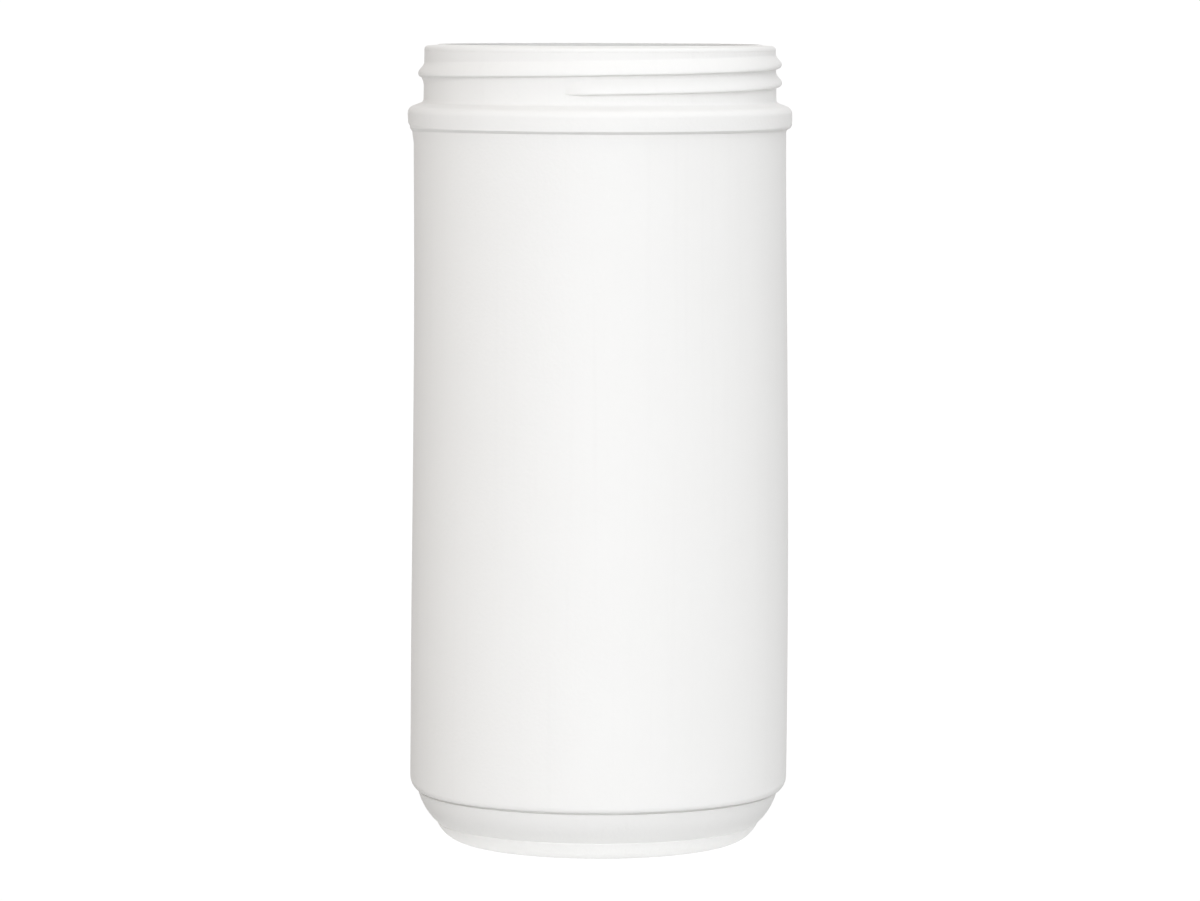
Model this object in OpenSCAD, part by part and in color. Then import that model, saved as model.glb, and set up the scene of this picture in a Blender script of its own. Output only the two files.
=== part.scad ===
// Wide-mouth canister with a continuous-thread neck finish, blow moulded in one piece.
// The origin is the centre of the standing plane, and +Z runs up the axis to the mouth.
// The front is -Y, and the mould's parting plane holds the X axis.

/* [Overall] */
// Height from the standing plane to the top of the rim
total_h = 220; // [150:0.5:320]
// Outside diameter of the lower part of the body
body_d = 104.3; // [103:0.1:140]
// How much smaller the body's radius is under the bead
body_draft = 0.95; // [0:0.05:1.2]
// Height at which the body starts to narrow
draft_start_h = 40; // [25:1:80]

/* [Walls] */
// Wall thickness of the body
body_wall = 1.3; // [0.8:0.1:2.4]
// Wall thickness of the base and the heel
base_wall = 1.5; // [1:0.1:2.6]
// Wall thickness of the neck under the rim
neck_wall = 1.7; // [1.2:0.1:3]

/* [Neck finish] */
// Diameter over the neck wall at the rim, inside the thread's crest (the E size)
neck_d = 96.4; // [80:0.1:98]
// How much the neck's radius grows from the rim down to the shoulder
neck_draft = 0.3; // [0:0.05:0.5]
// Height from the foot of the neck up to the rim (the H size)
finish_h = 15.9; // [15:0.1:24]
// Width of the rim's sealing flange, from the neck wall's outside in to the mouth
flange_w = 4.6; // [3.8:0.1:8]
// Thickness of the sealing flange
flange_t = 1.5; // [1:0.1:2.6]
// Fillet where the flange's underside meets the neck's bore
flange_fillet = 1; // [0.3:0.1:1.2]
// Rounding of the rim's outer edge
rim_round = 1.1; // [0.2:0.05:1.4]
// Rounding of the mouth's upper edge
mouth_round = 0.2; // [0.1:0.05:0.4]

/* [Thread] */
// How far the thread's crest stands out of the neck wall
thread_depth = 1.6; // [1:0.05:2.2]
// Rise of the thread in one turn
thread_pitch = 5.08; // [4.2:0.01:5.6]
// Number of turns from one end of the thread to the other
thread_turns = 1.5; // [1:0.05:1.6]
// Depth of the crest below the rim at the thread's lower end
thread_drop = 12; // [11:0.05:12.5]
// Direction of the thread's lower end, in degrees from +X
thread_start_angle = -101; // [-180:1:180]
// Height of the gentle flank above the crest
thread_upper_flank = 2.9; // [1.8:0.05:3]
// Height of the steep flank below the crest
thread_lower_flank = 1.2; // [0.8:0.05:1.8]
// Degrees over which each end of the thread runs out
thread_run_out = 10; // [6:1:30]

/* [Bead] */
// How far the bead stands out from the top of the body
bead_proud = 1.65; // [1.2:0.05:4]
// Height from the bead's underside up to the foot of the neck
bead_h = 7.5; // [5.5:0.1:12]
// How much the bead's underside rises from the body to the bead's edge
bead_under_rise = 0.6; // [0:0.05:1]
// How much the shoulder falls from the foot of the neck to the bead's edge
shoulder_fall = 1.65; // [0.4:0.05:2.5]
// Rounding of the bead's upper edge
bead_round = 2.3; // [0.8:0.05:3]
// Rounding of the bead's lower edge
bead_under_round = 1.1; // [0.4:0.05:1.4]
// Fillet where the neck meets the shoulder
neck_fillet = 1.1; // [0.4:0.05:1.6]
// Fillet where the bead's underside meets the body
bead_fillet = 0.6; // [0.2:0.05:1]
// How far the wall is moulded out behind the bead
bead_hollow = 0.45; // [0:0.05:0.8]

/* [Base] */
// Height of the body's lower lip above the standing plane
lip_h = 14.6; // [12:0.1:20]
// Rounding of the body's lower lip
lip_round = 2.4; // [1:0.1:2.6]
// Height of the groove under the lip
groove_h = 0.75; // [0.6:0.05:1.5]
// How far the heel stands in from the body's side
heel_inset = 2; // [1.6:0.05:3.5]
// Depth of the groove behind the heel's upper edge
groove_depth = 0.65; // [0.3:0.05:0.9]
// Radius of the heel's curve in section
heel_round = 14.8; // [8:0.1:30]
// How far the heel's curve draws in down to the foot
heel_draw = 5.5; // [4:0.1:8]
// Height of the foot
foot_h = 5.1; // [4:0.05:8]
// Size of the little step on top of the foot
foot_step = 0.45; // [0.2:0.05:0.8]
// Radius of the foot's curve in section
foot_round = 8.5; // [5.5:0.1:12]
// How far the foot's curve draws in down to the standing ring
foot_draw = 6.5; // [4:0.05:8]
// Width of the flat standing ring
ring_w = 3; // [2:0.1:6]
// Height of the push-up in the middle of the base
push_up_h = 3.6; // [2:0.1:6]
// Width of the slope from the standing ring up to the push-up
push_up_slope_w = 7; // [4:0.5:14]
// Height of the pinch-off weld across the push-up
weld_h = 0.7; // [0.3:0.05:1.5]
// Width of the pinch-off weld
weld_w = 1.6; // [0.8:0.1:3]
// How far the weld's ends stay inside the push-up's flat middle
weld_margin = 4; // [1:0.5:10]

/* [Hidden] */

// Facets round the axis, and steps in a curve of the section and along the body
round_steps = 180;
curve_steps = 8;
body_steps = 14;
// Steps in one turn of the thread
thread_steps = 72;
// Points closer than this are one point
same = 0.0001;
// How deep the thread is rooted in the neck wall, and how far its ends dip under the wall
thread_root = neck_wall / 4;
thread_end_dip = thread_root / 2;
// What is left of the flanks' height at the thread's ends
thread_end_share = 0.4;

// Heights of the main levels
neck_foot_z = total_h - finish_h;
bead_edge_z = neck_foot_z - shoulder_fall;
bead_foot_z = neck_foot_z - bead_h;
taper_top_z = bead_foot_z - bead_h / 2;
heel_top_z = lip_h - groove_h;

// Radii of the main levels
body_r = body_d / 2;
body_top_r = body_r - body_draft;
bead_r = body_top_r + bead_proud;
neck_r = neck_d / 2;
neck_foot_r = neck_r + neck_draft;
bore_r = neck_r - neck_wall;
mouth_r = neck_r - flange_w;
heel_r = body_r - heel_inset;
groove_r = heel_r - groove_depth;
foot_r = heel_r - heel_draw;
ring_r = foot_r - foot_draw;
ring_in_r = ring_r - ring_w;
push_up_r = ring_in_r - push_up_slope_w;

// A soft step from 0 to 1, level at both ends
function ease(t) = 0.5 - 0.5 * cos(180 * max(0, min(1, t)));

// Radius of the body's side at the height z
function side_r(z) =
    body_r - body_draft * ease((z - draft_start_h) / (taper_top_z - draft_start_h));

// Radius of the neck wall at the height z
function neck_wall_r(z) = neck_r + neck_draft * (total_h - z) / finish_h;

function reversed(points) = [for (i = [len(points) - 1:-1:0]) points[i]];

// The same points without those that lie on the one before
function distinct(points) =
    [for (i = [0:len(points) - 1]) if (i == 0 || norm(points[i] - points[i - 1]) > same) points[i]];

// Points on an arc about c, from the angle a0 to the angle a1
function arc(c, r, a0, a1) = [
    for (i = [0:curve_steps])
    let (a = a0 + (a1 - a0) * i / curve_steps)
    [c.x + r * cos(a), c.y + r * sin(a)]
];

// Points on an arc of radius r from p up to q, bulging away from the axis
function bow(p, q, r) =
    let (
        chord = norm(q - p),
        radius = max(r, 0.51 * chord),
        inward = [p.y - q.y, q.x - p.x] / chord,
        c = (p + q) / 2 + inward * sqrt(radius * radius - chord * chord / 4)
    )
    arc(c, radius, atan2(p.y - c.y, p.x - c.x), atan2(q.y - c.y, q.x - c.x));

// Points on a soft S from p to q that runs along the axis at both ends
function soft_step(p, q) = [
    for (i = [0:curve_steps])
    let (t = i / curve_steps)
    [p.x + (q.x - p.x) * ease(t), p.y + (q.y - p.y) * t]
];

// Points on a soft S from p to q that is level at both ends
function soft_rise(p, q) = [
    for (i = [0:curve_steps])
    let (t = i / curve_steps)
    [p.x + (q.x - p.x) * t, p.y + (q.y - p.y) * ease(t)]
];

// A path's corners are [radius, height, rounding]. The first and last stay sharp.
function corner(path, i) = [path[i].x, path[i].y];
function side(path, i) = norm(corner(path, i + 1) - corner(path, i));
function towards(path, i, j) =
    (corner(path, j) - corner(path, i)) / norm(corner(path, j) - corner(path, i));
function half_angle(path, i) = acos(towards(path, i, i - 1) * towards(path, i, i + 1)) / 2;

// How far the rounding of corner i wants to reach along its two sides
function wanted(path, i) =
    i <= 0 || i >= len(path) - 1 || path[i].z == 0 ? 0 : path[i].z / tan(half_angle(path, i));

// The same, where two roundings that would meet share the side between them
function reach(path, i) =
    wanted(path, i) * min(
        1,
        side(path, i - 1) / (wanted(path, i - 1) + wanted(path, i)),
        side(path, i) / (wanted(path, i) + wanted(path, i + 1))
    );

// Points on the rounding of corner i
function corner_points(path, i) =
    wanted(path, i) == 0 ? [corner(path, i)] :
    let (
        u = towards(path, i, i - 1),
        v = towards(path, i, i + 1),
        half = half_angle(path, i),
        r = reach(path, i) * tan(half),
        c = corner(path, i) + (u + v) / norm(u + v) * r / sin(half),
        p = corner(path, i) + u * reach(path, i) - c,
        q = corner(path, i) + v * reach(path, i) - c,
        a0 = atan2(p.y, p.x),
        turn = atan2(p.x * q.y - p.y * q.x, p * q)
    )
    arc(c, r, a0, a0 + turn);

function rounded(path) = [for (i = [0:len(path) - 1]) each corner_points(path, i)];

// The underside and the heel, from the middle of the base up to the groove
function base_line() = concat(
    [[0, push_up_h]],
    soft_rise([push_up_r, push_up_h], [ring_in_r, 0]),
    bow([ring_r, 0], [foot_r, foot_h - foot_step], foot_round),
    bow([foot_r - foot_step, foot_h], [heel_r, heel_top_z], heel_round)
);

// The body's tapering side
function side_line() = [
    for (i = [0:body_steps])
    let (z = draft_start_h + (taper_top_z - draft_start_h) * i / body_steps)
    [side_r(z), z, 0]
];

// The outside from the groove up, over the rim, round its flange and down the neck's bore
function upper_corners() = concat(
    [[groove_r, heel_top_z, 0], [groove_r, lip_h, 0], [body_r, lip_h, lip_round]],
    side_line(),
    [
        [body_top_r, bead_foot_z, bead_fillet],
        [bead_r, bead_foot_z + bead_under_rise, bead_under_round],
        [bead_r, bead_edge_z, bead_round],
        [neck_foot_r, neck_foot_z, neck_fillet],
        [neck_r, total_h, rim_round],
        [mouth_r, total_h, mouth_round],
        [mouth_r, total_h - flange_t, 0],
        [bore_r, total_h - flange_t, flange_fillet],
        [bore_r, neck_foot_z, 0]
    ]
);

// The inside, from the middle of the floor up to the neck's bore
function inside_line() =
    let (
        foot_in = [foot_r - base_wall, foot_h + base_wall / 2],
        heel_in = [groove_r - base_wall, heel_top_z],
        lip_in = [body_r - body_wall, lip_h + 2 * lip_round],
        top_in = [body_top_r - body_wall, taper_top_z],
        bead_in = [top_in.x + bead_hollow, bead_foot_z + bead_h / 2]
    )
    concat(
        [[0, push_up_h + base_wall]],
        soft_rise([push_up_r, push_up_h + base_wall], [ring_in_r, base_wall]),
        bow([ring_r, base_wall], foot_in, foot_round - base_wall),
        bow(foot_in, heel_in, heel_round - base_wall),
        soft_step(heel_in, lip_in),
        [for (p = side_line()) [p.x - body_wall, p.y]],
        soft_step(top_in, bead_in),
        soft_step(bead_in, [bore_r, neck_foot_z])
    );

// The wall in section, as one closed outline
module wall_section() {
    polygon(distinct(concat(base_line(), rounded(upper_corners()), reversed(inside_line()))));
}

// One cross-section of the thread: its height h out of the wall, its flanks scaled by share
function thread_section(h, share) =
    let (low = thread_lower_flank * share, up = thread_upper_flank * share)
    concat(
        [[-thread_root, -low]],
        [for (a = [60, 30]) [h * cos(a), -low * sin(a)]],
        [for (t = [0, 0.25, 0.5, 0.75]) [h * (1 - ease(t)), up * t]],
        [[-thread_root, up]]
    );

// The same placed on the neck, at the turn t counted from the thread's lower end
function thread_ring(t) =
    let (
        grown = ease(min(t, thread_turns - t) * 360 / thread_run_out),
        h = thread_depth * grown - thread_end_dip * (1 - grown),
        share = thread_end_share + (1 - thread_end_share) * grown,
        z = total_h - thread_drop + thread_pitch * t,
        a = thread_start_angle + 360 * t
    )
    [
        for (p = thread_section(h, share))
        let (r = neck_wall_r(z + p.y) + p.x)
        [r * cos(a), r * sin(a), z + p.y]
    ];

module thread() {
    rings = ceil(thread_steps * thread_turns);
    points = [for (i = [0:rings]) each thread_ring(thread_turns * i / rings)];
    n = len(thread_section(1, 1));
    // Each face between two rings is split in two triangles
    sides = [
        for (i = [0:rings - 1], j = [0:n - 1])
        let (a = i * n + j, b = i * n + (j + 1) % n)
        each [[a, b, b + n], [a, b + n, a + n]]
    ];
    start_face = [for (j = [n - 1:-1:0]) j];
    end_face = [for (j = [0:n - 1]) rings * n + j];
    polyhedron(points, concat(sides, [start_face, end_face]));
}

// The ridge that the mould leaves where it pinches the tube of plastic shut
module pinch_off_weld() {
    length = 2 * (push_up_r - weld_margin);
    translate([-length / 2, -weld_w / 2, push_up_h - weld_h])
        cube([length, weld_w, weld_h + base_wall / 2]);
}

module bottle() {
    color("whitesmoke") {
        rotate_extrude($fn = round_steps) wall_section();
        thread();
        pinch_off_weld();
    }
}

bottle();
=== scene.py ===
import math

import bpy
import numpy as np
from mathutils import Matrix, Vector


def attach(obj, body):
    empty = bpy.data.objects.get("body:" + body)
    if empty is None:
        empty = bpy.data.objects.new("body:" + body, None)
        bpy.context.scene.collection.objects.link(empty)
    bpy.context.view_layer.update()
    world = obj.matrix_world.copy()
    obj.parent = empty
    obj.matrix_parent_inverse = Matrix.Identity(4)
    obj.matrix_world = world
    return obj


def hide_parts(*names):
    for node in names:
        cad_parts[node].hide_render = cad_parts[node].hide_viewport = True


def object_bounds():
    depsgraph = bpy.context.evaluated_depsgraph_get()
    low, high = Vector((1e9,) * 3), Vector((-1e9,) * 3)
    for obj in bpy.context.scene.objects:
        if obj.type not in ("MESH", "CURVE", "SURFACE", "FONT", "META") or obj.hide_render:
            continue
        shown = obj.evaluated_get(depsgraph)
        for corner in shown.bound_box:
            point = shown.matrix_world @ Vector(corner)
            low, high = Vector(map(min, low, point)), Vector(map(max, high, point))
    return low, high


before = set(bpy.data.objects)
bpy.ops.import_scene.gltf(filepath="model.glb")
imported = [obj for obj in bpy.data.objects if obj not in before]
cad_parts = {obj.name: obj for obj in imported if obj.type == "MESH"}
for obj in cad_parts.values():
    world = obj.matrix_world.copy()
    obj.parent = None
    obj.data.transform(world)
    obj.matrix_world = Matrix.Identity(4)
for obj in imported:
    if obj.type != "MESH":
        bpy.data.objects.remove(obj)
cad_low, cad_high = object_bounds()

# A white blow-moulded canister bottle on a pale floor. The shape is worked out in millimetres,
# in the CAD part's frame: +Z up the axis, -Y the front, X in the mould's parting plane.
MM = 0.001

# ---------------------------------------------------------------- sizes, in mm and degrees

# Most of these sizes are the CAD part's, and the others move its surface by less than a
# millimetre. A name that ends in _parting gives a form's size where the mould parts, at +X and
# -X, where forms are less crisp. Its plain size is for the middle of the mould's halves.

# Overall, from the CAD part's box
total_h = round(cad_high.z / MM, 3)
bead_r = round(cad_high.x / MM, 3)

# Body
body_r = 52.15
body_draft = 0.95
draft_start_h = 40
body_wall = 1.3
base_wall = 1.5
neck_wall = 1.7

# Neck finish
neck_r = 48.2
neck_draft = 0.3
finish_h = 15.9
rim_round = 1.1
rim_inner_round = 0.15
mouth_r = 43.6
flange_t = 1.5
flange_fillet = 1
neck_fillet = 1

# Thread
thread_depth = 1.6
thread_pitch = 5.08
thread_turns = 1.5
thread_drop = 12
thread_start_angle = -101
thread_upper_flank = 2.9
thread_lower_flank = 0.6
thread_lower_flank_parting = 1.2
thread_nose = 8
thread_nose_height = 0.3

# Shape of the thread's crown (2 is round, more is squarer) and of its upper flank (1 is straight)
crown_square = 3.5
crown_square_parting = 2
upper_flank_power = 1.3

# Bead
bead_proud = 1.65
bead_h = 7.6
bead_under_rise = 0.7
shoulder_fall = 1.65
bead_round = 2.3
bead_under_round = 0.3
bead_under_round_parting = 1.9
bead_fillet = 0.1
bead_fillet_parting = 1.2
bead_hollow = 0.45

# Base
lip_h = 14.6
lip_round = 2.4
groove_h = 0.75
heel_inset = 2.3
groove_depth = 0.65
heel_round = 11
heel_round_parting = 18
heel_draw = 5.35
foot_h = 5.1
foot_step = 0.12
foot_round = 8.5
foot_draw = 6.5
ring_w = 3
push_up_h = 3.6
push_up_slope_w = 7
weld_h = 0.7
weld_w = 1.6
weld_margin = 4

# Small forms that the CAD part leaves plainer: edges rounded, a deeper groove, a curved lip
groove_edge_round = 0.25
groove_foot_round = 0.15
groove_extra = 0.1
lip_curve = 3
lip_curve_parting = 4
lip_inset = 0.35
lip_inset_parting = 1.6
lip_edge_round = 0.15
foot_edge_round = 1.3
foot_step_fillet = 0.3

# Rim: its sealing land falls outwards, its trimmed inner edge stands up, the mouth is undercut,
# and the whole rim tilts back a little
land_fall = 0.25
trim_h = 0.2
trim_w = 0.7
trim_foot = 0.3
mouth_undercut = 0.5
rim_tilt = 0.13
rim_tilt_h = 8

# What blow moulding leaves on the wall: the parting line, faint waves and a bow in the body,
# the base a little aside, and the weld with its gutters and its ridge inside
parting_h = 0.05
parting_w = 0.16
wave_h = 0.03
heel_calm_h = 20
bead_calm_h = 14
body_bow = 0.4
base_shift = 0.17
weld_raggedness = 0.2
weld_end = 1.5
weld_gutter_y = 1.1 * weld_w
weld_gutter_w = 0.7
weld_gutter_depth = 0.12
inner_weld_h = 0.5
inner_weld_w = 2.2
inner_weld_end = 4

# Waves in the wall: strength, number around, slant and phase, swell along the axis and phase
wall_waves = [
    (1, 3, 41, 0.7, 33, 1.9),
    (0.5, 5, -23, 2.1, 19, 0.3),
]

# Waves along the weld that make it ragged: how close together, and phase
weld_waves = [(1.7, 0.6), (0.53, 2)]

# Corners under the thread and the bead. They are filled more on the -X side, the softer one: the
# sizes that end in _soft or _soft_h, and all of the bead's, are for that side.
thread_fillet = 0.3
thread_fillet_h = 0.1
thread_fillet_soft = 2.6
thread_fillet_soft_h = 0.75
bead_fill = 0.5
bead_fill_h = 2.4
bead_turn_h = 0.9
bead_sag = 0.38
bead_sag_h = 1.6

# Skin of the plastic
die_line_depth = 0.02
peel_depth = 0.06

# Levels and radii that follow
body_top_r = bead_r - bead_proud
neck_foot_z = total_h - finish_h
bead_edge_z = neck_foot_z - shoulder_fall
bead_foot_z = neck_foot_z - bead_h
taper_top_z = bead_foot_z - bead_h / 2
heel_top_z = lip_h - groove_h
neck_foot_r = neck_r + neck_draft
bore_r = neck_r - neck_wall
heel_r = body_r - heel_inset
groove_r = heel_r - groove_depth
foot_r = heel_r - heel_draw
ring_r = foot_r - foot_draw
ring_in_r = ring_r - ring_w
push_up_r = ring_in_r - push_up_slope_w

# The band of the neck wall that the thread's own rows of faces cover
thread_band_low = neck_foot_z + neck_fillet
thread_band_gap = 0.1
thread_band_high = total_h - trim_h - land_fall - rim_round - thread_band_gap

# Fineness of the mesh: steps of arcs in degrees or in number, rows of the base, the walls and the
# thread, and columns in degrees
arc_step = 9
heel_steps = 8
corner_steps = 6
rise_steps = 14
base_row = 1.2
inner_base_row = 2
base_edge = 2
wall_row = 5
lower_rows = 6
steep_row = 0.04
crest_row = 0.1
crest_h = 0.7
crest_gap = 0.15
flank_row = 0.22
neck_row = 0.3
row_gap = 0.06
column_step = 0.75
nose_column = 0.25
nose_margin = 8
parting_columns = [0, 0.1, 0.2, 0.3, 0.4, 0.5, 0.65, 0.8, 1, 1.25, 1.5, 2]

# How sharply forms lose their crispness towards the mould's parting plane, and how widely the
# corners on the -X side are filled
crisp_power = 10
soft_power = 5


# ---------------------------------------------------------------- the wall's outline

def ease(t):
    """A soft step from 0 to 1, level at both ends."""
    return 0.5 - 0.5 * np.cos(np.pi * np.clip(t, 0, 1))


def mixed(low, high, share):
    """From low to high by share. With crisp_share, low is the size where the mould parts."""
    return low + (high - low) * share


def side_r(z):
    """Radius of the body's side at the height z."""
    return body_r - body_draft * ease((z - draft_start_h) / (taper_top_z - draft_start_h))


def side_heights():
    """Heights of the rows where the body's side narrows."""
    rows = round((taper_top_z - draft_start_h) / wall_row)
    return [draft_start_h + (taper_top_z - draft_start_h) * i / rows for i in range(rows + 1)]


def neck_wall_r(z):
    """Radius of the neck wall at the height z."""
    return neck_r + neck_draft * (total_h - z) / finish_h


def arc(centre, radius, start, turn, steps=0):
    """Points on an arc about centre; start and turn are in radians."""
    steps = steps or max(2, math.ceil(abs(math.degrees(turn)) / arc_step))
    angles = [start + turn * i / steps for i in range(steps + 1)]
    return [(centre[0] + radius * math.cos(a), centre[1] + radius * math.sin(a)) for a in angles]


def bow(p, q, radius, steps=0):
    """Points on an arc from p up to q, bulging away from the axis."""
    p, q = np.array(p, float), np.array(q, float)
    chord = np.linalg.norm(q - p)
    inward = np.array([p[1] - q[1], q[0] - p[0]]) / chord
    c = (p + q) / 2 + inward * math.sqrt(radius ** 2 - chord ** 2 / 4)
    start = math.atan2(p[1] - c[1], p[0] - c[0])
    return arc(c, radius, start, math.atan2(q[1] - c[1], q[0] - c[0]) - start, steps)


def soft_step(p, q, steps=10):
    """Points on a soft S from p to q that runs along the axis at both ends."""
    share = [i / steps for i in range(steps + 1)]
    return [(p[0] + (q[0] - p[0]) * ease(t), p[1] + (q[1] - p[1]) * t) for t in share]


def soft_rise(p, q, steps=10):
    """Points on a soft S from p to q that is level at both ends."""
    share = [i / steps for i in range(steps + 1)]
    return [(p[0] + (q[0] - p[0]) * t, p[1] + (q[1] - p[1]) * ease(t)) for t in share]


def straight(p, q, row=wall_row):
    """Points from p to q, about one row apart."""
    steps = max(1, round(math.dist(p, q) / row))
    share = [i / steps for i in range(steps + 1)]
    return [(p[0] + (q[0] - p[0]) * t, p[1] + (q[1] - p[1]) * t) for t in share]


def rounded(path):
    """A path of corners (radius, height, rounding, steps) as points.

    Roundings that meet share the side between them. The steps may be left out.
    """
    at = np.array([c[:2] for c in path], float)
    side = np.linalg.norm(np.diff(at, axis=0), axis=1)
    half, wanted = [0.0] * len(path), [0.0] * len(path)
    for i in range(1, len(path) - 1):
        u, v = (at[i - 1] - at[i]) / side[i - 1], (at[i + 1] - at[i]) / side[i]
        half[i] = math.acos(float(np.clip(u @ v, -1, 1))) / 2
        wanted[i] = path[i][2] / math.tan(half[i]) if path[i][2] else 0.0
    points = []
    for i, corner in enumerate(path):
        if not wanted[i]:
            points.append((corner[0], corner[1]))
            continue
        before = side[i - 1] / (wanted[i - 1] + wanted[i])
        after = side[i] / (wanted[i] + wanted[i + 1])
        reach = wanted[i] * min(1, before, after)
        u, v = (at[i - 1] - at[i]) / side[i - 1], (at[i + 1] - at[i]) / side[i]
        radius = reach * math.tan(half[i])
        c = at[i] + (u + v) / np.linalg.norm(u + v) * radius / math.sin(half[i])
        p, q = at[i] + u * reach - c, at[i] + v * reach - c
        turn = math.atan2(p[0] * q[1] - p[1] * q[0], p @ q)
        points += arc(c, radius, math.atan2(p[1], p[0]), turn, *corner[3:])
    return points


def distinct(*outlines, least=0.002):
    """The outlines without the points that lie on the point before in every one of them."""
    kept = []
    for points in zip(*outlines, strict=True):
        if not kept or max(map(math.dist, points, kept[-1])) > least:
            kept.append(points)
    return list(zip(*kept))


def sharp(points):
    """Points of an outline as corners without a rounding."""
    return [(p[0], p[1], 0) for p in points]


def underside():
    """From the middle of the base out to the standing ring."""
    edge = (push_up_r, push_up_h)
    middle = straight((0, push_up_h), edge, base_row)[1:]
    return middle + soft_rise(edge, (ring_in_r, 0), rise_steps)


def heel_corners(crisp):
    """Corners from the standing ring up the foot and the heel to the groove."""
    foot = bow((ring_r, 0), (foot_r, foot_h - foot_step), foot_round)
    heel_curve = mixed(heel_round_parting, heel_round, crisp)
    heel = bow((foot_r - foot_step, foot_h), (heel_r, heel_top_z), heel_curve, heel_steps)
    return [
        *sharp(foot[:-1]),
        (*foot[-1], foot_edge_round, corner_steps),
        (*heel[0], foot_step_fillet, corner_steps),
        *sharp(heel[1:-1]),
        (*heel[-1], groove_edge_round, corner_steps),
    ]


def lip_corners(crisp):
    """Corners from the groove over the body's lower lip and up its straight side."""
    inset = mixed(lip_inset_parting, lip_inset, crisp)
    curve = mixed(lip_curve_parting, lip_curve, crisp)
    curve_h = math.sqrt(curve ** 2 - (curve - inset) ** 2)
    lip = bow((body_r - inset, lip_h), (body_r, lip_h + curve_h), curve, corner_steps)
    heights = np.linspace(lip[-1][1], draft_start_h, lower_rows)[:-1]
    return [
        (groove_r - groove_extra, heel_top_z, groove_foot_round),
        (groove_r - groove_extra, lip_h, groove_foot_round),
        (*lip[0], lip_edge_round, corner_steps),
        *sharp(lip[1:-1]),
        *[(body_r, z, 0) for z in heights],
    ]


def bead_corners(crisp):
    """Corners up the narrowing side and over the bead to the foot of the thread's band."""
    fillet = mixed(bead_fillet_parting, bead_fillet, crisp)
    under_round = mixed(bead_under_round_parting, bead_under_round, crisp)
    return [
        *[(side_r(z), z, 0) for z in side_heights()],
        (body_top_r, bead_foot_z, fillet),
        (bead_r, bead_foot_z + bead_under_rise, under_round),
        (bead_r, bead_edge_z, bead_round),
        (neck_foot_r, neck_foot_z, neck_fillet),
        (neck_wall_r(thread_band_low), thread_band_low, 0),
    ]


def outside(crisp):
    """From the middle of the base to the foot of the thread's band, crisp or soft (1 or 0)."""
    return underside() + rounded(heel_corners(crisp) + lip_corners(crisp) + bead_corners(crisp))


def rim_and_bore():
    """From the top of the thread's band over the rim and its flange, and down the bore."""
    land_z = total_h - trim_h
    under_z = total_h - flange_t
    return rounded(
        [
            (neck_wall_r(thread_band_high), thread_band_high, 0),
            (neck_r, land_z - land_fall, rim_round),
            (mouth_r + trim_w + trim_foot, land_z, trim_foot),
            (mouth_r + trim_w, total_h, trim_foot),
            (mouth_r, total_h, rim_inner_round),
            (mouth_r + mouth_undercut, under_z, rim_inner_round),
            (bore_r, under_z, flange_fillet),
        ]
        + sharp(straight((bore_r, under_z - 2 * flange_fillet), (bore_r, neck_foot_z)))
    )


def inside():
    """From the foot of the bore down the inside to the middle of the floor."""
    foot_in = (foot_r - base_wall, foot_h + base_wall / 2)
    heel_in = (groove_r - base_wall, heel_top_z)
    lip_in = (body_r - body_wall, lip_h + 2 * lip_round)
    top_in = (body_top_r - body_wall, taper_top_z)
    bead_in = (top_in[0] + bead_hollow, bead_foot_z + bead_h / 2)
    floor_edge = (push_up_r, push_up_h + base_wall)
    up = straight((0, push_up_h + base_wall), floor_edge, inner_base_row)[1:]
    up += soft_rise(floor_edge, (ring_in_r, base_wall))
    up += bow((ring_r, base_wall), foot_in, foot_round - base_wall)
    up += bow(foot_in, heel_in, heel_round - base_wall)
    up += soft_step(heel_in, lip_in)
    up += straight(lip_in, (lip_in[0], draft_start_h))
    up += [(side_r(z) - body_wall, z) for z in side_heights()]
    up += soft_step(top_in, bead_in)
    up += soft_step(bead_in, (bore_r, neck_foot_z))
    return up[::-1]


# ---------------------------------------------------------------- columns and the thread

def columns():
    """Angles of the mesh's columns: finer at the parting lines and at the thread's ends."""
    angles = {round(column_step * i, 3) for i in range(round(360 / column_step))}
    for line in (0, 180):
        near = {a for a in angles if abs((a - line + 180) % 360 - 180) < parting_columns[-1]}
        fine = {round((line + side * f) % 360, 3) for f in parting_columns for side in (1, -1)}
        angles = (angles - near) | fine
    for turn, towards in ((0, 1), (thread_turns, -1)):
        end = thread_start_angle + 360 * turn
        span = range(-nose_margin, round(thread_nose / nose_column) + nose_margin + 1)
        angles |= {round((end + towards * i * nose_column) % 360, 3) for i in span}
    return np.radians(sorted(angles))


def soft_side_share(angle):
    """1 at -X, the softer side, and 0 away from it."""
    return np.clip(-np.cos(angle), 0, 1) ** soft_power


def crisp_share(angle):
    """1 in the middle of the mould's halves, where forms are crispest, and 0 at its parting."""
    return 1 - np.abs(np.cos(angle)) ** crisp_power


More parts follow.
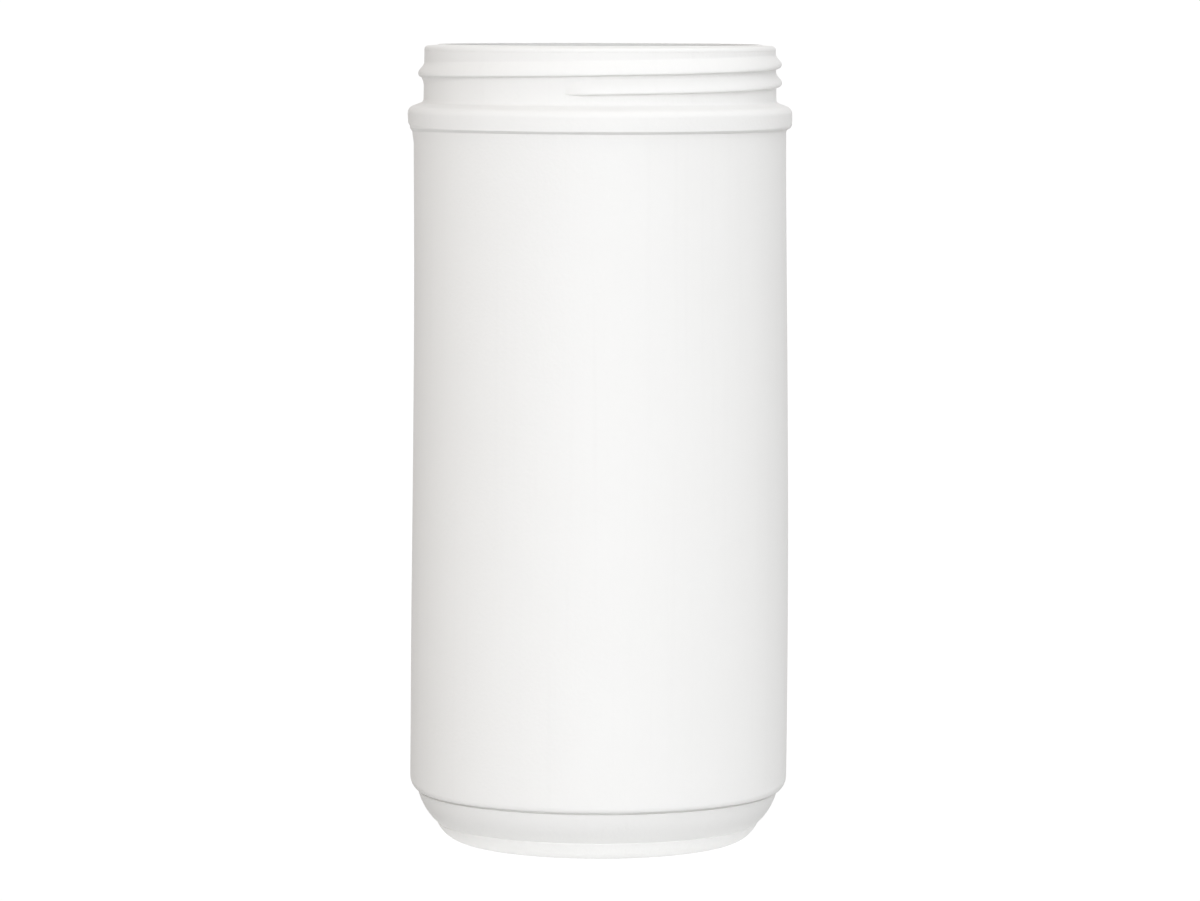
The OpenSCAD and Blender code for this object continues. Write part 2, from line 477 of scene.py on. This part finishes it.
def thread_out(angle, z):
    """How far the thread stands out of the neck wall at the angle and the height z."""
    start = math.radians(thread_start_angle)
    first = ((angle - start) % (2 * np.pi)) / (2 * np.pi)
    soft = soft_side_share(angle)
    crisp = crisp_share(angle)
    low = mixed(thread_lower_flank_parting, thread_lower_flank, crisp)
    square = mixed(crown_square_parting, crown_square, crisp)
    toe_h = mixed(thread_fillet_h, thread_fillet_soft_h, soft)
    toe_w = mixed(thread_fillet, thread_fillet_soft, soft)
    most = np.zeros(np.broadcast(angle, z).shape)
    for turn in range(math.ceil(thread_turns) + 1):
        t = first + turn
        nose = np.clip(np.minimum(t, thread_turns - t) * 360 / thread_nose, 0, 1)
        out = 1 - (1 - nose) ** 2
        grown = np.sqrt(out)
        foot_z = total_h - thread_drop + thread_pitch * t - thread_lower_flank_parting
        over = (z - foot_z - low) / mixed(thread_nose_height, 1, grown)
        crown = np.clip(1 - np.clip(-over / low, 0, 1) ** square, 0, 1) ** (1 / square)
        toe = toe_h / thread_depth * np.clip(1 + (over + low) / toe_w, 0, 1) ** 2
        under = crown + (1 - crown) * toe
        up = over / (thread_upper_flank + thread_lower_flank_parting - low)
        above = 1 - mixed(ease(up), np.clip(up, 0, 1) ** upper_flank_power, crisp)
        most = np.maximum(most, thread_depth * out * np.where(over < 0, under, above))
    return most


def thread_row_offsets():
    """Heights of one turn's rows from the crest (0): close together on the steep underside."""
    low = thread_lower_flank_parting + 2 * thread_fillet
    steep = np.arange(-low, -crest_h, steep_row)
    crest = np.arange(-crest_h, crest_row / 10, crest_row)
    gentle = np.arange(crest_gap, thread_upper_flank, flank_row)
    rest = np.arange(thread_upper_flank, thread_pitch - low - crest_gap, neck_row)
    return np.concatenate([steep, crest, gentle, rest])


# ---------------------------------------------------------------- relief on the wall

def body_share(z):
    """1 along the body's plain side and 0 at the heel and the bead."""
    return ease((z - lip_h) / heel_calm_h) * ease((bead_foot_z - z) / bead_calm_h)


def outside_relief(x, y, z, angle, on_base):
    """How far blow moulding pushes the outside out of its plain outline; on_base is a share."""
    waves = sum(
        strength * np.sin(around * angle + z / slant + phase) * np.sin(z / swell + start)
        for strength, around, slant, phase, swell, start in wall_waves)
    parting = parting_h * np.exp(-((y / parting_w) ** 2))
    relief = wave_h * body_share(z) * waves + parting - parting_h + bead_foot_relief(z, angle)
    return relief + on_base * weld_relief(x, y)


def bead_foot_relief(z, angle):
    """Fills the corner under the bead and eases its lower edge where the mould is less crisp."""
    under = ease((z - bead_foot_z + bead_fill_h) / bead_fill_h)
    turn = ease((z - bead_foot_z) / bead_turn_h)
    edge = 1 - ease((z - bead_foot_z - bead_turn_h) / bead_sag_h)
    return soft_side_share(angle) * (bead_fill * under * (1 - turn) - bead_sag * turn * edge)


def weld_relief(x, y):
    """The ragged ridge where the mould pinched the tube of plastic shut."""
    ends = ease((push_up_r - weld_margin - np.abs(x)) / weld_end)
    rough = math.prod(np.sin(x * pace + phase) for pace, phase in weld_waves)
    ridge = np.exp(-((2 * y / weld_w) ** 4)) * (1 - weld_raggedness * (0.5 + 0.5 * rough))
    gutter = np.exp(-(((np.abs(y) - weld_gutter_y) / weld_gutter_w) ** 2))
    return weld_h * ends * (ridge - weld_gutter_depth * gutter)


def base_share(r):
    """1 on the flat middle of the base and 0 outside it."""
    return ease((push_up_r + base_edge / 2 - r) / base_edge)


def inside_relief(x, y):
    """The low ridge on the floor inside, over the weld."""
    ends = ease((push_up_r - weld_margin - np.abs(x)) / inner_weld_end)
    return inner_weld_h * ends * np.exp(-((y / inner_weld_w) ** 2))


# ---------------------------------------------------------------- the mesh

def outline_normals(points):
    """Unit normals of an outline, pointing to the right of its way, which is out of the wall."""
    p = np.array(points)
    way = np.gradient(p, axis=0)
    way /= np.linalg.norm(way, axis=1)[:, None]
    return np.stack([way[:, 1], -way[:, 0]], 1)


def place(r, z, angle):
    """Points in mm. The body bows to +X, the base stands a little to -X, the rim tilts back."""
    shift = body_bow * np.sin(np.pi * np.clip((z - lip_h) / (bead_foot_z - lip_h), 0, 1))
    shift = shift - base_shift * ease((lip_h - z) / groove_h)
    at_rim = ease((z - total_h + rim_tilt_h) / rim_tilt_h)
    sunk = rim_tilt * at_rim * (1 + r * np.sin(angle) / neck_r)
    return np.stack([r * np.cos(angle) + shift, r * np.sin(angle), z - sunk + 0 * angle], -1)


def outside_rings(soft, crisp, angles):
    """Rings of the outside between its soft and its crisp outline, with its relief."""
    n = outline_normals(crisp)
    share = crisp_share(angles)
    rings = []
    for p, q, (nr, nz) in zip(soft, crisp, n, strict=True):
        r, z = mixed(p[0], q[0], share), mixed(p[1], q[1], share)
        x, y = r * np.cos(angles), r * np.sin(angles)
        in_push_up = q[1] > push_up_h / 2 and q[0] < ring_r
        under = base_share(r) if in_push_up else 0.0
        out = outside_relief(x, y, z, angles, under)
        rings.append(place(np.minimum(r + out * nr, bead_r), np.maximum(z + out * nz, 0), angles))
    return rings


def plain_rings(points, angles):
    """Rings of an outline that is the same all round."""
    return [place(r, z, angles) for r, z in points]


def inside_rings(points, angles):
    """Rings of the inside, with the ridge over the weld."""
    rings = []
    for r, z in points:
        x, y = r * np.cos(angles), r * np.sin(angles)
        on_floor = base_share(r) if z < lip_h else 0.0
        rings.append(place(r, z + on_floor * inside_relief(x, y), angles))
    return rings


class Skin:
    """Vertices and faces of the bottle while they are gathered."""

    def __init__(self, angles):
        self.angles = angles
        self.count = 0
        self.points = []
        self.faces = []

    def ring(self, points):
        """Adds a ring and returns its vertex numbers."""
        self.points.append(points)
        self.count += len(points)
        return np.arange(self.count - len(points), self.count)

    def join(self, low, high):
        """Faces between two rings."""
        self.faces += np.stack([low, np.roll(low, -1), np.roll(high, -1), high], 1).tolist()

    def stack(self, rings, first=None):
        """Joins rings one on the other, and returns the first and the last."""
        ids = [self.ring(r) for r in rings]
        if first is not None:
            ids.insert(0, first)
        for low, high in zip(ids, ids[1:]):
            self.join(low, high)
        return ids[0], ids[-1]

    def cap(self, ring, middle, upward):
        """Closes a ring with a fan about its middle."""
        self.points.append(np.array([middle], float))
        self.count += 1
        tip = self.count - 1
        for a, b in zip(ring.tolist(), np.roll(ring, -1).tolist()):
            self.faces.append([a, b, tip] if upward else [b, a, tip])


def climbing_rows(angles, offsets):
    """The order of the columns up one turn, and the angles and heights of the climbing rows."""
    turns = range(-2, math.ceil((thread_band_high - thread_band_low) / thread_pitch) + 2)
    rows = np.concatenate([offsets + thread_pitch * i for i in turns]) + total_h - thread_drop
    climb = ((angles - math.radians(thread_start_angle)) % (2 * np.pi)) / (2 * np.pi)
    order = np.argsort(climb)
    z = rows[:, None] + thread_pitch * climb[None, order]
    return order, np.broadcast_to(angles[order], z.shape), z


def thread_band(skin, low_ring, high_ring):
    """The neck wall and its thread, in rows that climb with the thread from ring to ring."""
    offsets = thread_row_offsets()
    order, around, z = climbing_rows(skin.angles, offsets)
    r = neck_wall_r(z) + thread_out(around, z)
    r = r + outside_relief(r * np.cos(around), r * np.sin(around), z, around, 0.0)
    own = (z >= thread_band_low + row_gap) & (z <= thread_band_high - row_gap)
    number = np.where(z < thread_band_low + row_gap, low_ring[order], high_ring[order])
    number[own] = skin.count + np.arange(own.sum())
    skin.points.append(place(r[own], z[own], around[own]))
    skin.count += int(own.sum())
    # After the last column comes the first one again, a turn higher up
    closing = np.full(len(z), high_ring[order][0])
    closing[:-len(offsets)] = number[len(offsets):, 0]
    number = np.concatenate([number, closing[:, None]], 1)
    quads = np.stack([number[:-1, :-1], number[:-1, 1:], number[1:, 1:], number[1:, :-1]], -1)
    for quad in quads.reshape(-1, 4).tolist():
        face = [v for i, v in enumerate(quad) if v != quad[i - 1]]
        if len(set(face)) == len(face) > 2:
            skin.faces.append(face)


def bottle_mesh():
    """The whole moulding as one closed skin."""
    angles = columns()
    skin = Skin(angles)
    soft, crisp = distinct(outside(0), outside(1))
    upper, = distinct(rim_and_bore())
    inner, = distinct(inside())
    first, low = skin.stack(outside_rings(soft, crisp, angles))
    high, bore_foot = skin.stack(plain_rings(upper, angles))
    thread_band(skin, low, high)
    _, floor_ring = skin.stack(inside_rings(inner[1:], angles), bore_foot)
    skin.cap(first, (0, 0, push_up_h - weld_relief(0, 0)), False)
    skin.cap(floor_ring, (0, 0, push_up_h + base_wall + inner_weld_h), True)
    mesh = bpy.data.meshes.new("bottle_moulding")
    mesh.from_pydata((np.concatenate(skin.points) * MM).tolist(), [], skin.faces)
    mesh.validate()
    mesh.shade_smooth()
    return mesh


# ---------------------------------------------------------------- materials

def node(tree, kind, **values):
    """A node with the given properties, and inputs given by name."""
    made = tree.nodes.new(kind)
    for name, value in values.items():
        if hasattr(made, name):
            setattr(made, name, value)
        else:
            made.inputs[name.replace("_", " ")].default_value = value
    return made


def feed(tree, socket, value):
    """Links the value to the socket if it is a socket itself, and otherwise sets it there."""
    if isinstance(value, bpy.types.NodeSocket):
        tree.links.new(value, socket)
    else:
        socket.default_value = value


def emptied(owner):
    """The node tree of a material or a world, without its first nodes."""
    owner.use_nodes = True
    owner.node_tree.nodes.clear()
    return owner.node_tree


def arithmetic(tree, operation, value, other):
    """One step of arithmetic on a socket and another socket or a number."""
    made = node(tree, "ShaderNodeMath", operation=operation)
    feed(tree, made.inputs[0], value)
    feed(tree, made.inputs[1], other)
    return made.outputs[0]


def blended(tree, share, low, high):
    """A shader between the shaders low and high, by share."""
    mix = node(tree, "ShaderNodeMixShader")
    for socket, value in zip(mix.inputs, (share, low, high)):
        feed(tree, socket, value)
    return mix.outputs[0]


def tinted(tree, share, low, high):
    """A colour between low and high, which may be colours or colour sockets, by share."""
    mix = node(tree, "ShaderNodeMix", data_type="RGBA")
    # Input 0 of this node is the share, 6 and 7 are the colours, and output 2 is their mix
    for socket, value in ((0, share), (6, low), (7, high)):
        feed(tree, mix.inputs[socket], value)
    return mix.outputs[2]


def ranged(tree, value, source, target, interpolation="LINEAR"):
    """The value carried from one range of numbers, the source, to another, the target."""
    made = node(tree, "ShaderNodeMapRange", interpolation_type=interpolation)
    for name, number in zip(("From Min", "From Max", "To Min", "To Max"), (*source, *target)):
        made.inputs[name].default_value = number
    tree.links.new(value, made.inputs["Value"])
    return made.outputs["Result"]


# The plastic's colours
hdpe_white = (0.844, 0.843, 0.829, 1)
hdpe_duller = (0.826, 0.824, 0.809, 1)
hdpe_streak = (0.816, 0.814, 0.800, 1)

# Its roughness: the skin's, and what the trimmed rim has more
satin_range = (0.50, 0.62)
trimmed_extra = (0.0, 0.15)

# Its patterns: how many features there are in a metre, their detail, and how much fewer there
# are along the axis
mottling = (38.0, 4.0, 1.0)
die_lines = (420.0, 3.0, 0.015)
orange_peel = (1000.0, 3.0, 1.0)
pattern_roughness = 0.55

# The part of a pattern's range that shows as streaks, and how strongly, and the part that the
# skin's roughness follows
streak_range = (0.55, 0.75)
streak_share = (0.0, 0.5)
peel_range = (0.25, 0.75)


def pattern(tree, place_of, scale, detail, along_axis):
    """A noise over the object's own place."""
    mapped = node(tree, "ShaderNodeMapping")
    mapped.inputs["Scale"].default_value = (1, 1, along_axis)
    tree.links.new(place_of.outputs["Object"], mapped.inputs["Vector"])
    made = node(
        tree, "ShaderNodeTexNoise", Scale=scale, Detail=detail, Roughness=pattern_roughness)
    tree.links.new(mapped.outputs["Vector"], made.inputs["Vector"])
    return made.outputs["Fac"]


def hdpe_colour(tree, cloud, line):
    """White with soft mottling where the wall's flow changes, and faint lines along the axis."""
    streak = ranged(tree, line, streak_range, streak_share)
    return tinted(tree, streak, tinted(tree, cloud, hdpe_duller, hdpe_white), hdpe_streak)


def hdpe_roughness(tree, place_of, peel):
    """Satin, a little duller on the rim, where the moulding was trimmed."""
    at = node(tree, "ShaderNodeSeparateXYZ")
    tree.links.new(place_of.outputs["Object"], at.inputs[0])
    rim = ((total_h - 2 * trim_h) * MM, total_h * MM)
    trimmed = ranged(tree, at.outputs["Z"], rim, trimmed_extra)
    return arithmetic(tree, "ADD", ranged(tree, peel, peel_range, satin_range), trimmed)


def hdpe_skin(tree, line, peel):
    """The relief of the die's lines and of the skin's orange peel."""
    lines = node(tree, "ShaderNodeBump", Strength=1.0, Distance=die_line_depth * MM)
    tree.links.new(line, lines.inputs["Height"])
    skin = node(tree, "ShaderNodeBump", Strength=1.0, Distance=peel_depth * MM)
    tree.links.new(peel, skin.inputs["Height"])
    tree.links.new(lines.outputs["Normal"], skin.inputs["Normal"])
    return skin.outputs["Normal"]


def white_hdpe():
    """White high-density polyethylene as it leaves the mould."""
    material = bpy.data.materials.new("white_hdpe")
    tree = emptied(material)
    out = node(tree, "ShaderNodeOutputMaterial")
    shader = node(tree, "ShaderNodeBsdfPrincipled")
    tree.links.new(shader.outputs["BSDF"], out.inputs["Surface"])
    place_of = node(tree, "ShaderNodeTexCoord")
    cloud, line, peel = [pattern(tree, place_of, *p) for p in (mottling, die_lines, orange_peel)]
    tree.links.new(hdpe_colour(tree, cloud, line), shader.inputs["Base Color"])
    tree.links.new(hdpe_roughness(tree, place_of, peel), shader.inputs["Roughness"])
    tree.links.new(hdpe_skin(tree, line, peel), shader.inputs["Normal"])
    return material


# The floor glows a little, as paper on a light table does, and more in a pad of pad_r and its
# pad_fade, in mm, under the bottle. The camera sees mostly plain white, with a share of shadows.
floor_tone = 0.5
floor_glow = 0.135
pad_glow = 0.4
pad_r = 46
pad_fade = 7
floor_white = 1.1
floor_white_share = 0.85


def glowing_paper(tree):
    """Pale paper that glows, more in the pad under the bottle."""
    paper = node(tree, "ShaderNodeBsdfDiffuse", Color=(floor_tone, floor_tone, floor_tone, 1))
    place_of = node(tree, "ShaderNodeTexCoord")
    away = node(tree, "ShaderNodeVectorMath", operation="LENGTH")
    tree.links.new(place_of.outputs["Object"], away.inputs[0])
    pad_edge = (pad_r * MM, (pad_r + pad_fade) * MM)
    strength = ranged(
        tree, away.outputs["Value"], pad_edge, (floor_glow + pad_glow, floor_glow), "SMOOTHSTEP")
    glow = node(tree, "ShaderNodeEmission")
    tree.links.new(strength, glow.inputs["Strength"])
    lit = node(tree, "ShaderNodeAddShader")
    tree.links.new(paper.outputs[0], lit.inputs[0])
    tree.links.new(glow.outputs[0], lit.inputs[1])
    return lit.outputs[0]


def floor_paper():
    """Plain white paper on a light table."""
    material = bpy.data.materials.new("floor_paper")
    tree = emptied(material)
    out = node(tree, "ShaderNodeOutputMaterial")
    white = node(tree, "ShaderNodeEmission", Strength=floor_white)
    rays = node(tree, "ShaderNodeLightPath")
    share = arithmetic(tree, "MULTIPLY", rays.outputs["Is Camera Ray"], floor_white_share)
    seen = blended(tree, share, glowing_paper(tree), white.outputs[0])
    tree.links.new(seen, out.inputs["Surface"])
    return material


# ---------------------------------------------------------------- light, floor and camera

# Soft lobes of light: the azimuth (0 in front, 90 on the +X side) and the elevation that each
# comes from, in degrees, how narrow it is, and its colour and brightness in one
studio_lobes = [
    (0, 6, 16, (5.34, 5.34, 5.40)),
    (0, 6, 4, (0.52, 0.53, 0.56)),
    (0, 25, 6, (0.47, 0.48, 0.49)),
    (90, 25, 4, (1.22, 1.23, 1.25)),
    (-50, 6, 6, (0.45, 0.47, 0.50)),
    (-90, 6, 4, (0.72, 0.64, 0.56)),
    (180, 15, 6, (1.00, 0.97, 1.00)),
    (0, 90, 4, (1.28, 1.25, 1.22)),
]


def lobe_node(tree, way, azimuth, elevation, narrow, colour):
    """A lobe of light, brightest from the given direction: its cosine to a power."""
    az, el = math.radians(azimuth), math.radians(elevation)
    facing = node(tree, "ShaderNodeVectorMath", operation="DOT_PRODUCT")
    facing.inputs[1].default_value = (
        math.sin(az) * math.cos(el), -math.cos(az) * math.cos(el), math.sin(el))
    tree.links.new(way.outputs["Generated"], facing.inputs[0])
    front = arithmetic(tree, "MAXIMUM", facing.outputs["Value"], 0.0)
    lobe = node(tree, "ShaderNodeVectorMath", operation="SCALE")
    lobe.inputs[0].default_value = colour
    tree.links.new(arithmetic(tree, "POWER", front, narrow), lobe.inputs["Scale"])
    return lobe


def studio_light():
    """A soft white studio, and a white backdrop for the camera alone."""
    world = bpy.data.worlds.new("studio")
    bpy.context.scene.world = world
    tree = emptied(world)
    out = node(tree, "ShaderNodeOutputWorld")
    way = node(tree, "ShaderNodeTexCoord")
    total = lobe_node(tree, way, *studio_lobes[0])
    for facts in studio_lobes[1:]:
        lobe = lobe_node(tree, way, *facts)
        added = node(tree, "ShaderNodeVectorMath", operation="ADD")
        tree.links.new(total.outputs[0], added.inputs[0])
        tree.links.new(lobe.outputs[0], added.inputs[1])
        total = added
    studio = node(tree, "ShaderNodeBackground", Strength=1.0)
    tree.links.new(total.outputs[0], studio.inputs["Color"])
    backdrop = node(tree, "ShaderNodeBackground", Strength=1.0)
    backdrop.inputs["Color"].default_value = (1, 1, 1, 1)
    rays = node(tree, "ShaderNodeLightPath")
    to_camera = rays.outputs["Is Camera Ray"]
    seen = blended(tree, to_camera, studio.outputs[0], backdrop.outputs[0])
    tree.links.new(seen, out.inputs["Surface"])


# The floor's radius in metres, and the number of its sides
floor_r = 80.0
floor_sides = 96


def studio_floor():
    """A wide round floor at the foot of the bottle."""
    turns = [2 * math.pi * i / floor_sides for i in range(floor_sides)]
    rim = [(floor_r * math.cos(turn), floor_r * math.sin(turn), 0) for turn in turns]
    mesh = bpy.data.meshes.new("studio_floor")
    mesh.from_pydata(rim, [], [list(range(floor_sides))])
    mesh.materials.append(floor_paper())
    floor = bpy.data.objects.new("studio_floor", mesh)
    bpy.context.scene.collection.objects.link(floor)


# The camera looks a little down at the front from about a metre and a half away: its place in
# metres, how far it looks down and rolls in degrees, and its lens and sensor in millimetres
camera_back = 1.5743
camera_up = 0.24005
camera_side = 0.00027
camera_down = 4.796
camera_roll = 0.16
camera_lens = 171.63
camera_sensor = 36


def studio_camera():
    """The camera at the photo's viewing angle."""
    data = bpy.data.cameras.new("camera")
    data.sensor_width = camera_sensor
    data.lens = camera_lens
    data.clip_start = 0.05
    data.clip_end = 2.5 * floor_r
    camera = bpy.data.objects.new("camera", data)
    bpy.context.scene.collection.objects.link(camera)
    tilt = Matrix.Rotation(math.radians(90 - camera_down), 4, "X")
    roll = Matrix.Rotation(math.radians(camera_roll), 4, "Z")
    camera.matrix_world = Matrix.Translation((camera_side, -camera_back, camera_up)) @ tilt @ roll
    bpy.context.scene.camera = camera


# ---------------------------------------------------------------- the scene

def bottle():
    """The bottle, in place of the CAD part."""
    mesh = bottle_mesh()
    mesh.materials.append(white_hdpe())
    piece = bpy.data.objects.new("bottle_moulding", mesh)
    bpy.context.scene.collection.objects.link(piece)
    even = piece.modifiers.new("even_normals", "WEIGHTED_NORMAL")
    even.mode = "FACE_AREA"
    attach(piece, "root")
    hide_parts("bottle")


bottle()
studio_floor()
studio_light()
studio_camera()
bpy.context.scene.view_settings.view_transform = "Standard"
